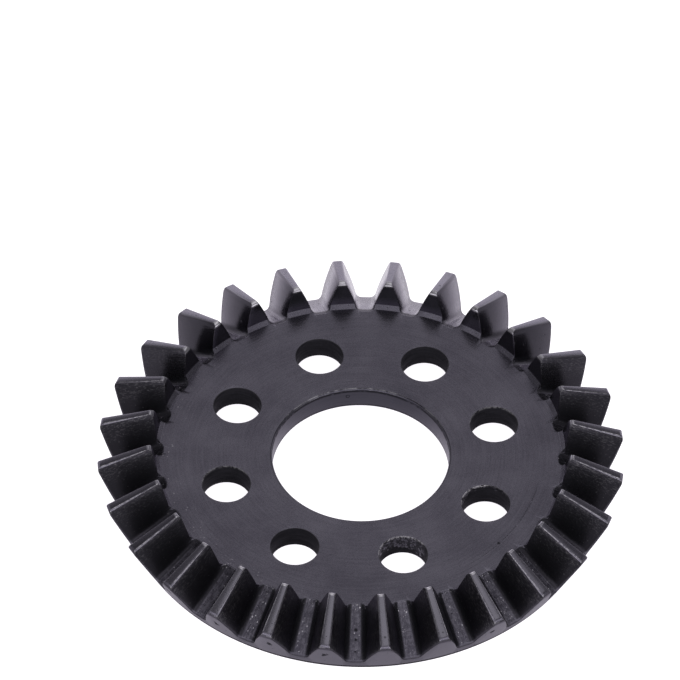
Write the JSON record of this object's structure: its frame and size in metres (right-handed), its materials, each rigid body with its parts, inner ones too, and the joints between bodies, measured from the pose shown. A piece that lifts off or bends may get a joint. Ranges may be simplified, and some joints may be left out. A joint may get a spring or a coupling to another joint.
{
  "type": "bevel gear",
  "caption": "Straight-tooth bevel gear: a toothed conical rim round a thin flat web with a plain bore and a circle of bolt holes, for turning a drive through a right angle.",
  "frame": {"origin": "centre of the flat back ring, on the bore axis", "axes": "+Z along the bore axis towards the teeth, +X through the middle of a bolt hole"},
  "size_m": [0.094, 0.094, 0.0136],
  "materials": {
    "dark_steel": "blackened, satin, turned and cut"
  },
  "bodies": {
    "root": {"bevel_gear": "dark_steel"}
  },
  "joints": []
}
